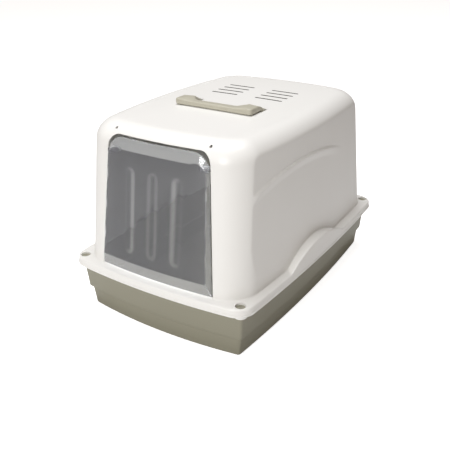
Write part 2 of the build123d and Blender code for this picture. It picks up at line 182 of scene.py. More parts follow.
half = FLOOR_SIZE / 2
floor_mesh = bpy.data.meshes.new("floor")
floor_corners = [(-half, -half, 0), (half, -half, 0), (half, half, 0), (-half, half, 0)]
floor_mesh.from_pydata(floor_corners, [], [(0, 1, 2, 3)])
floor = bpy.data.objects.new("floor", floor_mesh)
bpy.context.collection.objects.link(floor)
floor.data.materials.append(floor_material())

# %% [markdown]
# Moulded plastic is never one flat colour. Three effects are shared by all of it: a very fine grain from
# the mould, a slow drift of tone across a wall, and convex edges painted a little paler, partly as rubbed
# wear and partly as a painted highlight. Each is a node group, placed in each plastic with its own values.


# %% Shared node groups
GRAIN_HEIGHT = 0.0004
EDGE_STARTS, EDGE_FULL = 0.54, 0.66


def new_group(name, inputs, outputs):
    """Empty shader node group with named sockets: (name, kind, default) in, (name, kind) out."""
    group = bpy.data.node_groups.new(name, "ShaderNodeTree")
    for label, kind, default in inputs:
        socket = group.interface.new_socket(label, in_out="INPUT", socket_type=kind)
        socket.default_value = default
    for label, kind in outputs:
        group.interface.new_socket(label, in_out="OUTPUT", socket_type=kind)
    return group, group.nodes.new("NodeGroupInput"), group.nodes.new("NodeGroupOutput")


def object_noise(tree, scale, detail):
    """Noise over Object coordinates."""
    place = new_node(tree, "TexCoord").outputs["Object"]
    return new_node(tree, "TexNoise", {"Vector": place, "Scale": scale, "Detail": detail}).outputs["Fac"]


def grain_group():
    """Fine mould grain: a height for a bump, and a roughness that varies with it."""
    group, given, out = new_group(
        "mould_grain",
        [("Scale", "NodeSocketFloat", 900.0), ("Rough Low", "NodeSocketFloat", 0.3),
         ("Rough High", "NodeSocketFloat", 0.4)],
        [("Height", "NodeSocketFloat"), ("Roughness", "NodeSocketFloat")],
    )
    fine = object_noise(group, given.outputs["Scale"], 2.0)
    rough = new_node(group, "MapRange", {"Value": fine, "To Min": given.outputs["Rough Low"],
                                         "To Max": given.outputs["Rough High"]})
    group.links.new(fine, out.inputs["Height"])
    group.links.new(rough.outputs["Result"], out.inputs["Roughness"])
    return group


def tone_group():
    """Slow drift between two near tones, and paler convex edges: partly rubbed wear, partly painted
    highlight.
    """
    group, given, out = new_group(
        "tone_drift",
        [("Tone", "NodeSocketColor", (0.8, 0.8, 0.8, 1)), ("Shade", "NodeSocketColor", (0.7, 0.7, 0.7, 1)),
         ("Rubbed And Highlight", "NodeSocketColor", (0.9, 0.9, 0.9, 1)), ("Scale", "NodeSocketFloat", 6.0),
         ("Wear And Highlight", "NodeSocketFloat", 0.3)],
        [("Color", "NodeSocketColor")],
    )
    noise = object_noise(group, given.outputs["Scale"], 3.0)
    drift = mixed_colour(group, noise, given.outputs["Tone"], given.outputs["Shade"])
    # Convex edges are painted paler: partly rubbed wear, partly a painted highlight.
    convex = new_node(group, "NewGeometry").outputs["Pointiness"]
    edge = new_node(group, "MapRange", {"Value": convex, "From Min": EDGE_STARTS, "From Max": EDGE_FULL})
    wear_and_highlight = worked_out(group, "MULTIPLY", edge.outputs["Result"], given.outputs["Wear And Highlight"])
    rubbed_and_highlight = mixed_colour(group, wear_and_highlight, drift, given.outputs["Rubbed And Highlight"])
    group.links.new(rubbed_and_highlight, out.inputs["Color"])
    return group


GRAIN = grain_group()
TONE = tone_group()


# %% [markdown]
# Each opaque plastic is a Principled shader fed by the two groups. Polypropylene has a soft gloss: its
# roughness stays near 0.35 and the bump is only a few hundredths of a millimetre. The vents' walls get a
# dark plastic as painted shade: it stands for the shade inside the slots, which show as dark lines.


# %% Opaque plastics
def tone_colour(tree, tones, drift, wear_and_highlight):
    """Colour from the tone group. tones: the main tone, the one it drifts to, and the pale edges' (wear and
    painted highlight).
    """
    inputs = {label: (*tone, 1) for label, tone in zip(("Tone", "Shade", "Rubbed And Highlight"), tones)}
    return new_node(tree, "Group", {**inputs, "Scale": drift, "Wear And Highlight": wear_and_highlight}, node_tree=TONE).outputs["Color"]


def grain_node(tree, scale, rough):
    """The grain group, with its lowest and highest roughness."""
    return new_node(tree, "Group", {"Scale": scale, "Rough Low": rough[0], "Rough High": rough[1]},
                    node_tree=GRAIN)


def plastic(name, *tones, rough=(0.32, 0.44), grain_scale=900.0, bump=0.05, wear_and_highlight=0.3):
    """Moulded plastic: tones drift slowly, the mould's grain shows in the gloss, edges are paler as wear and
    painted highlight.
    """
    material, tree, shader = principled(name)
    grain = grain_node(tree, grain_scale, rough).outputs
    relief = new_node(tree, "Bump", {"Strength": bump, "Distance": GRAIN_HEIGHT, "Height": grain["Height"]})
    tree.links.new(relief.outputs["Normal"], shader.inputs["Normal"])
    tree.links.new(tone_colour(tree, tones, 6.0, wear_and_highlight), shader.inputs["Base Color"])
    tree.links.new(grain["Roughness"], shader.inputs["Roughness"])
    return material


white_plastic = plastic("hood_white", (0.86, 0.855, 0.83), (0.83, 0.82, 0.79), (0.92, 0.92, 0.90),
                        rough=(0.30, 0.38))
# The tray's edges are painted much paler than the others': beyond wear, this paints the highlight along its
# sharp corners.
taupe_plastic = plastic("tray_taupe", (0.285, 0.272, 0.205), (0.255, 0.245, 0.185), (0.40, 0.385, 0.31),
                        rough=(0.36, 0.48), grain_scale=700.0, bump=0.12, wear_and_highlight=0.8)
# The handle takes the tray's taupe painted lighter: painted light, for the light that falls on its top.
handle_lit_plastic = plastic("handle_taupe", (0.50, 0.48, 0.39), (0.46, 0.44, 0.355), (0.62, 0.60, 0.51),
                         grain_scale=700.0, bump=0.08)
# Dark plastic for the vents' walls: painted shade, standing for the shade inside the slots.
vent_painted_shade = plastic("vent_painted_shade", (0.10, 0.092, 0.085), (0.08, 0.075, 0.07), (0.16, 0.15, 0.14),
                     rough=(0.5, 0.6))
inner_white = plastic("cover_white", (0.80, 0.79, 0.76), (0.76, 0.75, 0.72), (0.88, 0.87, 0.85),
                      rough=(0.4, 0.5))

# %% [markdown]
# The door is clear smoky styrene, 2.5 mm thick. A Principled shader lets most of the light through, a grey
# base colour gives the tint, and a low roughness keeps the highlights sharp. The IOR is 1.5, a little under
# styrene's 1.59. Faces that lean from the sheet's plane are painted paler, a painted sheen for the light the
# real door's bevels catch, and faces that turn down are painted palest.


# %% Clear door plastic
SHEET_NORMAL = (0.0, -0.9945, 0.1045)
FLAT_COSINE, SLOPED_COSINE = 0.997, 0.972
DOWN_FULL = -0.24
DOOR_TRANSMISSION, DOOR_IOR = 0.86, 1.5
DOOR_TONES = ((0.385, 0.39, 0.415), (0.34, 0.345, 0.37), (0.5, 0.5, 0.53))
DOOR_PAINTED_SHEEN = {"Slope": (0.86, 0.87, 0.88), "Down": (0.96, 0.97, 0.98)}


def slope_group():
    """How far a face of the door leans from the sheet's own plane (0 to 1), and how far it faces down."""
    group, _, out = new_group("door_slope", [], [("Slope", "NodeSocketFloat"), ("Down", "NodeSocketFloat")])
    facing = new_node(group, "TexCoord").outputs["Normal"]
    cosine = new_node(group, "VectorMath", {0: facing, 1: SHEET_NORMAL}, operation="DOT_PRODUCT")
    slope = new_node(group, "MapRange", {"Value": cosine.outputs["Value"], "From Min": FLAT_COSINE,
                                         "From Max": SLOPED_COSINE})
    height = new_node(group, "SeparateXYZ", {0: facing}).outputs["Z"]
    down = new_node(group, "MapRange", {"Value": height, "From Min": 0.0, "From Max": DOWN_FULL})
    group.links.new(slope.outputs["Result"], out.inputs["Slope"])
    group.links.new(down.outputs["Result"], out.inputs["Down"])
    return group


def clear_plastic(name):
    """Clear smoky plastic with faint haze in its gloss: a painted sheen makes its bevels paler, and its
    bottom lip the palest.
    """
    material, tree, shader = principled(name)
    shader.inputs["Transmission Weight"].default_value = DOOR_TRANSMISSION
    shader.inputs["IOR"].default_value = DOOR_IOR
    shader.inputs["Metallic"].default_value = 0.0
    lean = new_node(tree, "Group", node_tree=slope_group())
    colour = tone_colour(tree, DOOR_TONES, 9.0, 0.4)
    # Painted sheen: faces leaning from the sheet, and those facing down, are painted paler for the light they
    # catch.
    for label, sheen_colour in DOOR_PAINTED_SHEEN.items():
        colour = mixed_colour(tree, lean.outputs[label], colour, (*sheen_colour, 1))
    tree.links.new(colour, shader.inputs["Base Color"])
    tree.links.new(grain_node(tree, 60.0, (0.02, 0.09)).outputs["Roughness"], shader.inputs["Roughness"])
    return material


door_plastic = clear_plastic("door_clear")

# %% [markdown]
# The filter's mat is open foam filled with carbon. It is dull and nearly black, and its small cells show as
# a strong bump from a Voronoi pattern, which also paints their hollows darker as painted shade.


# %% Carbon foam
FOAM_CELLS, FOAM_DEPTH = 420.0, 0.002
FOAM_PIT_SHADE, FOAM_PALE = (0.012, 0.012, 0.014, 1), (0.06, 0.06, 0.065, 1)


def foam(name):
    """Black carbon foam: deep open cells as a strong bump, their hollows painted darker as painted shade, and
    a dull surface.
    """
    material, tree, shader = principled(name)
    place = new_node(tree, "TexCoord").outputs["Object"]
    cells = new_node(tree, "TexVoronoi", {"Vector": place, "Scale": FOAM_CELLS}).outputs["Distance"]
    relief = new_node(tree, "Bump", {"Strength": 0.7, "Distance": FOAM_DEPTH, "Height": cells})
    tree.links.new(relief.outputs["Normal"], shader.inputs["Normal"])
    # Painted shade: the cells' hollows are painted darker than their rims.
    tree.links.new(mixed_colour(tree, cells, FOAM_PIT_SHADE, FOAM_PALE), shader.inputs["Base Color"])
    shader.inputs["Roughness"].default_value = 0.9
    return material


black_foam = foam("filter_black")

# %% [markdown]
# Hood and tray share one plan: a rectangle with round corners whose sides bow outwards. Each point of it
# is a column, known by its share along a side and by its direction at a corner, so every level of a shell
# has the same columns, and levels with other sizes still line up.

# %% Columns of the plan
SIDE_STEPS = 132
END_STEPS = 34
CORNER_STEPS = 30
FLANGE = {"half_x": 190.0, "front": -280.0, "rear": 280.0, "corner": 26.0}
BOW_X, BOW_Y = 9.5, 13.0
SMOOTH_ANGLE = 35.0


def plan_columns():
    """Share along x, share along y, and outward direction of each column, once round the plan."""
    side = np.linspace(-1, 1, SIDE_STEPS, endpoint=False)[1:]
    end = np.linspace(-1, 1, END_STEPS, endpoint=False)[1:]
    bend = np.linspace(0, np.pi / 2, CORNER_STEPS)
    rows = []

    def straight(share, fixed, direction, along_x):
        ones = np.ones_like(share)
        x, y = (share, fixed * ones) if along_x else (fixed * ones, share)
        rows.append(np.stack([x, y, direction[0] * ones, direction[1] * ones], 1))

    def corner(sx, sy, start):
        angle = start + bend
        ones = np.ones_like(angle)
        rows.append(np.stack([sx * ones, sy * ones, np.cos(angle), np.sin(angle)], 1))

    straight(end, -1, (0, -1), True)
    corner(1, -1, -np.pi / 2)
    straight(side, 1, (1, 0), False)
    corner(1, 1, 0.0)
    straight(-end, 1, (0, 1), True)
    corner(-1, 1, np.pi / 2)
    straight(-side, -1, (-1, 0), False)
    corner(-1, -1, np.pi)
    return np.concatenate(rows).T


SHARE_X, SHARE_Y, OUT_X, OUT_Y = plan_columns()
print("columns round the plan:", SHARE_X.size)


def plan_ring(half_x, front, rear, corner, bow_x=BOW_X, bow_y=BOW_Y):
    """x and y of every column of a bowed round-cornered rectangle.

    The straight-sided rectangle is pushed outwards by bow times 1 - (share of the way along)^2.
    Arguments may be columns of numbers, one for each level.
    """
    x0, y0 = half_x - bow_x, (rear - front) / 2 - bow_y
    x = SHARE_X * (x0 - corner) + corner * OUT_X
    y = SHARE_Y * (y0 - corner) + corner * OUT_Y
    wide = x * (1 + bow_x / x0 * (1 - (y / y0) ** 2))
    long = y * (1 + bow_y / y0 * (1 - (x / x0) ** 2))
    return wide, long + (front + rear) / 2


def new_mesh(name, points, faces):
    """Mesh from points in millimetres and faces, both arrays or lists."""
    mesh = bpy.data.meshes.new(name)
    mesh.from_pydata((np.reshape(points, (-1, 3)) * MM).tolist(), [], faces)
    mesh.update()
    return mesh


def stacked_solid(name, rings):
    """Closed solid from equal rings, an array of shape (levels, columns, 3), capped at both ends."""
    rings = np.asarray(rings, dtype=float)
    levels, columns, _ = rings.shape
    here = np.arange(columns)
    after = (here + 1) % columns
    start = np.arange(levels - 1)[:, None] * columns
    quads = np.stack([start + here, start + after, start + columns + after, start + columns + here], -1)
    caps = [here[::-1].tolist(), (here + (levels - 1) * columns).tolist()]
    return new_mesh(name, rings, quads.reshape(-1, 4).tolist() + caps)


def shade_smooth(mesh, smooth_angle=SMOOTH_ANGLE):
    """Smooth shading, but for edges sharper than an angle in degrees."""
    mesh.polygons.foreach_set("use_smooth", np.ones(len(mesh.polygons), dtype=bool))
    mesh.set_sharp_from_angle(angle=np.radians(smooth_angle))


def finish_piece(name, mesh, material, smooth_angle=SMOOTH_ANGLE):
    """Object at the origin for a mesh, with its material and shading."""
    piece = bpy.data.objects.new(name, mesh)
    bpy.context.collection.objects.link(piece)
    mesh.materials.append(material)
    shade_smooth(mesh, smooth_angle)
    return piece


# %% [markdown]
# The hood's wall leans in as it rises. Its side has a relief: a flat panel with round upper corners is cut
# into the bowed wall, a raised arc crosses it, and below a crease it flares out a little. Each point of the
# wall that lies inside the panel's outline is moved to the panel's plane.

# %% Hood levels and relief
LEDGE = 104.0
ROOF = 352.0
WALL = 3.0
LEDGE_WIDTH = 17.0
SKIRT_BOTTOM = 90.0
HOOD_CORNER = 42.0
ROOF_EDGE = 34.0
ROOF_DOME = 1.6
SIDE_LEAN, FRONT_LEAN, REAR_LEAN, SIDE_BULGE = np.tan(np.radians([2.7, 6.0, 9.0, 1.6]))
ARCH_HALF_SPAN = 108.0
ARCH_CENTRE = -17.0
ARCH_RISE = 28.0
PANEL_DEPTH = 2.5
PANEL_TOP = 328.0
PANEL_MARGIN = 27.0
PANEL_CORNER = 30.0
PANEL_EDGE = 1.5
ARC_RELIEF = 2.6
ARC_CENTRE_Y, ARC_TOP, ARC_RADIUS = -60.0, 288.5, 490.0
ARC_UPPER_EDGE, ARC_LOWER_EDGE = (3.5, 0.5), (-15.0, 0.0)
ARC_FADE_IN, ARC_FADE_OUT = (-238.0, -195.0), (20.0, 125.0)
CREASE_Y = [-240, -199, -139, -84, -23, 60, 240]
CREASE_Z = [189, 179, 163, 152, 141, 128, 112]
FLARE_SLOPE = 0.055
FOOT_RADIUS = 2.6
LIP_RADIUS = 2.8
WALL_LEVELS = 104


def wall_ends(rise):
    """y of the front wall's middle and of the rear wall's, at a rise above the ledge."""
    return FLANGE["front"] + LEDGE_WIDTH + rise * FRONT_LEAN, FLANGE["rear"] - LEDGE_WIDTH - rise * REAR_LEAN


def hood_ring(height, inset):
    """Hood's plan at a height, drawn in by inset. Both may differ from point to point."""
    rise = height - LEDGE
    front, rear = wall_ends(rise)
    half_x = FLANGE["half_x"] - LEDGE_WIDTH - rise * (SIDE_LEAN - SIDE_BULGE) - inset
    corner, bow_x = HOOD_CORNER - 0.75 * inset, BOW_X + rise * SIDE_BULGE
    return plan_ring(half_x, front + inset, rear - inset, corner, bow_x)


def flange_ring(inset):
    """Flange's plan, drawn in by inset."""
    return plan_ring(FLANGE["half_x"] - inset, FLANGE["front"] + inset, FLANGE["rear"] - inset,
                     FLANGE["corner"] - inset)


def smooth_step(value, low, high):
    """0 below low, 1 above high, and a smooth S between."""
    share = np.clip((value - low) / (high - low), 0, 1)
    return share * share * (3 - 2 * share)


def ledge_height():
    """Height of the ledge at each column: an arc rises half way along both sides."""
    _, y = flange_ring(0.0)
    radius = (ARCH_HALF_SPAN**2 + ARCH_RISE**2) / (2 * ARCH_RISE)
    along = np.clip(np.abs(y - ARCH_CENTRE), 0, ARCH_HALF_SPAN)
    rise = np.sqrt(radius**2 - along**2) - (radius - ARCH_RISE)
    on_side = (np.abs(SHARE_X) == 1) & (np.abs(SHARE_Y) < 1)
    return LEDGE + np.where(on_side, rise, 0.0)


def side_relief(x, y, z, depth=PANEL_DEPTH):
    """New x of the hood's surface: a flat panel cuts into the side, with a raised arc and a flare below.

    x is held to the panel's plane, |x| <= side(y, z) - depth, where a point is inside the panel's outline.
    """
    rise = z - LEDGE
    front, rear = wall_ends(rise)
    beside, above = np.minimum(y - front, rear - y) - PANEL_MARGIN, PANEL_TOP - z
    in_corner = (beside < PANEL_CORNER) & (above < PANEL_CORNER)
    round_off = PANEL_CORNER - np.hypot(PANEL_CORNER - beside, PANEL_CORNER - above)
    inside = np.where(in_corner, round_off, np.minimum(beside, above))
    share = 2 * (y - (front + rear) / 2) / (rear - front - 2 * BOW_Y)
    bow = BOW_X + rise * SIDE_BULGE
    side = FLANGE["half_x"] - LEDGE_WIDTH - BOW_X - rise * SIDE_LEAN + bow * np.clip(1 - share**2, 0, 1)
    to_arc = np.hypot(y - ARC_CENTRE_Y, z - (ARC_TOP - ARC_RADIUS)) - ARC_RADIUS
    fade = smooth_step(y, *ARC_FADE_IN) * (1 - smooth_step(y, *ARC_FADE_OUT))
    arc = ARC_RELIEF * smooth_step(to_arc, *ARC_UPPER_EDGE) * smooth_step(to_arc, *ARC_LOWER_EDGE) * fade
    flare = FLARE_SLOPE * np.clip(np.interp(y, CREASE_Y, CREASE_Z) - z, 0, None)
    panel = np.minimum(np.abs(x), side - depth + arc + flare)
    return np.sign(x) * (np.abs(x) + (panel - np.abs(x)) * smooth_step(inside, -PANEL_EDGE, PANEL_EDGE))


def level(values):
    """Numbers as a column, one level each, to combine with the plan's columns."""
    return np.asarray(values, dtype=float)[:, None]


def join_levels(x, y, z):
    """Stacks x, y and z of shape (levels, columns) into points."""
    x, y, z = np.broadcast_arrays(x, y, z)
    return np.stack([x, y, z], -1)


def roof_fan(ring, share, dome):
    """Levels from the roof's rim in to its middle: each is the rim drawn towards the centre."""
    centre = np.array([0.0, (ring[:, 1].max() + ring[:, 1].min()) / 2, 0.0])
    flat = centre + (ring - centre) * share[:, None, None]
    flat[..., 2] = ring[:, 2] + dome * (1 - share[:, None] ** 2)
    return flat


base = ledge_height()
wall_top = ROOF - ROOF_DOME - ROOF_EDGE
bend_angle = np.linspace(0, np.pi / 2, 16)
wall_share = level(np.linspace(0, 1, WALL_LEVELS))
wall_z = base + FOOT_RADIUS + (wall_top - base - FOOT_RADIUS) * wall_share
outer_wall = join_levels(*hood_ring(wall_z, 0.0), wall_z)
edge_z = wall_top + ROOF_EDGE * np.sin(level(bend_angle[1:]))
outer_edge = join_levels(*hood_ring(edge_z, ROOF_EDGE * (1 - np.cos(level(bend_angle[1:])))), edge_z)
outer = np.concatenate([outer_wall, outer_edge])
outer[..., 0] = side_relief(*np.moveaxis(outer, -1, 0))
roof_out = roof_fan(outer[-1], np.linspace(1, 0.02, 16)[1:], ROOF_DOME)
print("hood outer levels:", len(outer) + len(roof_out))


# %% [markdown]
# The flange is one profile carried round the plan: wall foot, ledge, rounded lip, skirt, bead, and back up
# inside. The inner wall follows, a wall's thickness in, so the hood is one closed shell.


# %% Hood shell
SKIRT_INSET = 1.5
BEAD_HALF = 2.2
BEAD_TOP = 4.6


def between(inner_ring, outer_ring, share, z):
    """Points part of the way from one ring out to another."""
    x = inner_ring[0] + (outer_ring[0] - inner_ring[0]) * share
    y = inner_ring[1] + (outer_ring[1] - inner_ring[1]) * share
    return join_levels(x, y, z)


def hood_rings():
    """All levels of the hood's shell, from the roof's middle outside to the roof's middle inside."""
    foot, skirt_ring = (outer[0, :, 0], outer[0, :, 1]), flange_ring(SKIRT_INSET)
    turn_in = level(bend_angle[::-3])
    foot_share = FOOT_RADIUS * (1 - np.cos(np.pi / 2 - turn_in)) / LEDGE_WIDTH
    foot_z = base + FOOT_RADIUS * (1 - np.sin(np.pi / 2 - turn_in))
    wall_foot = between(foot, skirt_ring, foot_share[::-1], foot_z[::-1])[::-1]
    lip = level(np.linspace(0, np.pi / 2, 7))
    lip_share = 1 - LIP_RADIUS * (1 - np.sin(lip)) / (LEDGE_WIDTH - SKIRT_INSET)
    ledge_lip = between(foot, skirt_ring, lip_share, base - LIP_RADIUS * (1 - np.cos(lip)))
    skirt = join_levels(*skirt_ring, level([SKIRT_BOTTOM + BEAD_TOP]))
    bead_turn = level(np.linspace(-np.pi / 2, np.pi / 2, 7))
    bead_out = SKIRT_INSET * np.cos(bead_turn)
    bead_z = SKIRT_BOTTOM + BEAD_HALF - BEAD_HALF * np.sin(bead_turn)
    bead = join_levels(*flange_ring(SKIRT_INSET - bead_out), bead_z)
    inner_skirt = join_levels(*flange_ring(SKIRT_INSET + WALL),
                              np.stack([np.full(base.shape, SKIRT_BOTTOM), base - WALL - 1]))
    inside_wall_z = base - WALL + (wall_top - base + WALL) * level(np.linspace(0, 1, 26))
    inner_wall = join_levels(*hood_ring(inside_wall_z, WALL), inside_wall_z)
    inner_bend = level(bend_angle[1::2])
    inner_edge_z = wall_top + (ROOF_EDGE - WALL) * np.sin(inner_bend)
    inner_inset = WALL + (ROOF_EDGE - WALL) * (1 - np.cos(inner_bend))
    inner_edge = join_levels(*hood_ring(inner_edge_z, inner_inset), inner_edge_z)
    inner_all = np.concatenate([inner_wall, inner_edge])
    inner_all[..., 0] = side_relief(*np.moveaxis(inner_all, -1, 0), PANEL_DEPTH + WALL)
    roof_in = roof_fan(inner_all[-1], np.linspace(1, 0.02, 8)[1:], ROOF_DOME)
    return np.concatenate([roof_out[::-1], outer[::-1], wall_foot, ledge_lip, skirt, bead, inner_skirt,
                           inner_all, roof_in])


hood = finish_piece("hood_skin", stacked_solid("hood_skin", hood_rings()), white_plastic)
print("hood faces:", len(hood.data.polygons))

# %% [markdown]
# Openings are cut with boolean solids: the entrance, the roof vents, the corner holes, the two small
# holes beside the entrance and the wells for the handle's ends. The exact solver keeps the shell closed.
# The vents are cut last, so that their new walls can take the dark plastic of painted shade.


# %% Cutters
def extruded_solid(name, outline, low, high):
    """Solid between two copies of a closed outline. low and high map outline points to 3-D, in mm."""
    return stacked_solid(name, [low(outline), high(outline)])


def along_axis(axis):
    """For an axis (0, 1 or 2): given a depth, a function that sets a flat outline up at that depth."""
    return lambda depth: lambda outline: np.insert(outline, axis, depth, axis=1)


push_x, push_y, lift_z = along_axis(0), along_axis(1), along_axis(2)


def round_polygon(corners, radii, steps=9):
    """Closed outline through corners, each rounded by an arc of its radius (0 keeps it sharp)."""
    corners = np.asarray(corners, dtype=float)
    points = []
    for i, corner_point in enumerate(corners):
        radius = radii[i]
        to_last = corners[i - 1] - corner_point
        to_next = corners[(i + 1) % len(corners)] - corner_point
        to_last /= np.linalg.norm(to_last)
        to_next /= np.linalg.norm(to_next)
        if radius == 0:
            points.append(corner_point[None])
            continue
        half_angle = np.arccos(np.clip(to_last @ to_next, -1, 1)) / 2
        halfway = (to_last + to_next) / np.linalg.norm(to_last + to_next)
        middle = corner_point + halfway * radius / np.sin(half_angle)
        first = corner_point + to_last * radius / np.tan(half_angle) - middle
        last = corner_point + to_next * radius / np.tan(half_angle) - middle
        whole_turn = np.arctan2(first[0] * last[1] - first[1] * last[0], first @ last)
        sweep = whole_turn * np.linspace(0, 1, steps)[:, None]
        turned = first * np.cos(sweep) + np.array([-first[1], first[0]]) * np.sin(sweep)
        points.append(middle + turned)
    return np.concatenate(points)


def circle(centre, radius, steps=40):
    """Closed circular outline."""
    angle = np.linspace(0, 2 * np.pi, steps, endpoint=False)
    return np.asarray(centre) + radius * np.column_stack([np.cos(angle), np.sin(angle)])


HANDLE_WIDTH, HANDLE_ARM_WIDTH = 156.0, 24.0
HANDLE_ARM_X = (HANDLE_WIDTH - HANDLE_ARM_WIDTH) / 2
WELL_HALF_X, WELL_FRONT, WELL_REAR, WELL_CORNER = 13.0, -48.0, -25.0, 1.5
ENTRANCE_CUT = (-200.0, -279.0)
ROOF_CUT, LEDGE_CUT = (340.0, 360.0), (96.0, 110.0)
OPENING_TOP = 336.0
OPENING_HALF_TOP, OPENING_HALF_BOTTOM = 99.0, 115.0
OPENING_CORNER = 22.0
VENT_LENGTH, VENT_WIDTH, VENT_PITCH, VENT_GROUP_X, VENT_CENTRE_Y = 56.0, 4.8, 21.5, 47.0, 66.0
SMALL_HOLE_X, SMALL_HOLE_Z, SMALL_HOLE_RADIUS = 92.0, 341.5, 2.4
HOLE_X, HOLE_Y, HOLE_RADIUS = 163.0, 251.0, 8.6
corner_places = [(sx * HOLE_X, sy * HOLE_Y) for sx in (-1, 1) for sy in (-1, 1)]


def rectangle(low_x, high_x, low_y, high_y, radius, steps):
    """Round-cornered rectangle as a closed outline."""
    corners = [(low_x, low_y), (high_x, low_y), (high_x, high_y), (low_x, high_y)]
    return round_polygon(corners, [radius] * 4, steps)


def well_outline(x, grow_x, grow_y, radius):
    """Outline of a handle's well in plan, grown by margins."""
    half = WELL_HALF_X + grow_x
    return rectangle(x - half, x + half, WELL_FRONT - grow_y, WELL_REAR + grow_y, radius, 4)


def cutter_meshes():
    """Every solid that is cut out of the hood, but the vents."""
    entrance = round_polygon(
        [(-OPENING_HALF_BOTTOM, LEDGE + 0.4), (OPENING_HALF_BOTTOM, LEDGE + 0.4),
         (OPENING_HALF_TOP, OPENING_TOP), (-OPENING_HALF_TOP, OPENING_TOP)],
        [0, 0, OPENING_CORNER, OPENING_CORNER])
    yield extruded_solid("entrance", entrance, *map(push_y, ENTRANCE_CUT))
    for side in (-1, 1):
        small = circle((side * SMALL_HOLE_X, SMALL_HOLE_Z), SMALL_HOLE_RADIUS, 20)
        yield extruded_solid("small_hole", small, *map(push_y, ENTRANCE_CUT))
        well = well_outline(side * HANDLE_ARM_X, 0.0, 0.0, WELL_CORNER)
        yield extruded_solid("well", well, *map(lift_z, ROOF_CUT))
    for place in corner_places:
        yield extruded_solid("corner_hole", circle(place, HOLE_RADIUS), *map(lift_z, LEDGE_CUT))


def vent_meshes():
    """The slots of the roof vents."""
    half_length, half_width = VENT_LENGTH / 2, VENT_WIDTH / 2
    for x in (-VENT_GROUP_X, VENT_GROUP_X):
        for row in range(4):
            y = VENT_CENTRE_Y + (row - 1.5) * VENT_PITCH
            slot = rectangle(x - half_length, x + half_length, y - half_width, y + half_width,
                             half_width * 0.98, 6)
            yield extruded_solid("vent", slot, *map(lift_z, ROOF_CUT))


def joined_mesh(name, meshes):
    """One mesh holding several, each a separate closed solid."""
    points, faces, start = [], [], 0
    for mesh in meshes:
        place = np.empty(3 * len(mesh.vertices), dtype=np.float32)
        mesh.vertices.foreach_get("co", place)
        points.append(place.reshape(-1, 3))
        faces += [[start + i for i in face.vertices] for face in mesh.polygons]
        start += len(mesh.vertices)
        bpy.data.meshes.remove(mesh)
    whole = bpy.data.meshes.new(name)
    whole.from_pydata(np.concatenate(points).tolist(), [], faces)
    whole.update()
    return whole


def cut(piece, tool_mesh, face_material=None):
    """Cuts a solid out of a piece with the exact boolean. The new faces may get a material of their own."""
    if face_material:
        tool_mesh.materials.append(face_material)
    tool = bpy.data.objects.new("cutter", tool_mesh)
    bpy.context.collection.objects.link(tool)
    modifier = piece.modifiers.new("cut", "BOOLEAN")
    modifier.operation = "DIFFERENCE"
    modifier.solver = "EXACT"
    modifier.material_mode = "TRANSFER" if face_material else "INDEX"
    modifier.object = tool
    shaped = bpy.data.meshes.new_from_object(piece.evaluated_get(bpy.context.evaluated_depsgraph_get()))
    piece.modifiers.clear()
    old = piece.data
    piece.data = shaped
    shaped.name = old.name
    bpy.data.meshes.remove(old)
    bpy.data.objects.remove(tool)
    shade_smooth(shaped)


cut(hood, joined_mesh("cutters", cutter_meshes()))
# The vents' new walls take the dark plastic: painted shade in the slots.
cut(hood, joined_mesh("vents", vent_meshes()), vent_painted_shade)
print("hood faces after cutting:", len(hood.data.polygons))
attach(hood, "hood")

# %% [markdown]
# Small parts of the mouldings are turned or extruded solids: the hood's corner bosses, the wells that hold
# the handle's ends, the lugs for the door and for the filter cover. They are all joined into one mesh of
# their own, which goes with the hood.


# %% Bosses, wells and lugs under the hood
NEAR_AXIS = 0.02
BOSS_RADIUS, BOSS_LOW, BOSS_HIGH, BOSS_CHAMFER = 10.8, 85.0, 102.0, 0.5
WELL_LOW, WELL_FLOOR, WELL_TOP = 335.5, 338.0, 349.8
DOOR_AXIS = (-227.901, 309.5)
DOOR_EDGE_X = 98.33
BRACKET_X = DOOR_EDGE_X + 4.7
DOOR_LUG_RADIUS = 7
FILTER_AXIS = (118.0, 343.0)
FILTER_LUG_X, FILTER_LUG_RADIUS = 84.6, 5
LUG_THICK = 4
ROOF_UNDERSIDE = 349.5


def turned_solid(name, profile, centre, axis="z", steps=48):
    """Solid of revolution. profile is a closed (radius, height) outline, turned about an axis at centre."""
    profile = np.asarray(profile, dtype=float)
    angle = np.linspace(0, 2 * np.pi, steps, endpoint=False)[:, None]
    a, b = profile[:, 0] * np.cos(angle), profile[:, 0] * np.sin(angle)
    height = np.broadcast_to(profile[:, 1], a.shape)
    points = np.stack([height, a, b] if axis == "x" else [a, b, height], -1) + np.asarray(centre, dtype=float)
    count = len(profile)
    here = np.arange(count)[None]
    ahead = (here + 1) % count
    start = np.arange(steps)[:, None] * count
    after = np.roll(start, -1, axis=0)
    quads = np.stack([start + here, after + here, after + ahead, start + ahead], -1)
    return new_mesh(name, points, quads.reshape(-1, 4).tolist())


def rounded_disc(radius, low, high, edge):
    """Profile of a disc whose upper rim is rounded by edge."""
    arc = np.linspace(0, np.pi / 2, 6)
    top = np.column_stack([radius - edge + edge * np.cos(arc), high - edge + edge * np.sin(arc)])
    return np.concatenate([[(NEAR_AXIS, low), (radius, low)], top, [(NEAR_AXIS, high)]])


def lug_mesh(name, axis, radius, first_angle, feet, inner_x, side):
    """Lug of a hinge: half a disc about the axis, drawn out to its feet on the wall or roof."""
    turn = first_angle + np.linspace(0, np.pi, 13)
    outline = np.asarray(axis) + radius * np.column_stack([np.cos(turn), np.sin(turn)])
    near, far = sorted((side * inner_x, side * (inner_x + LUG_THICK)))
    return extruded_solid(name, np.concatenate([outline, feet]), push_x(near), push_x(far))


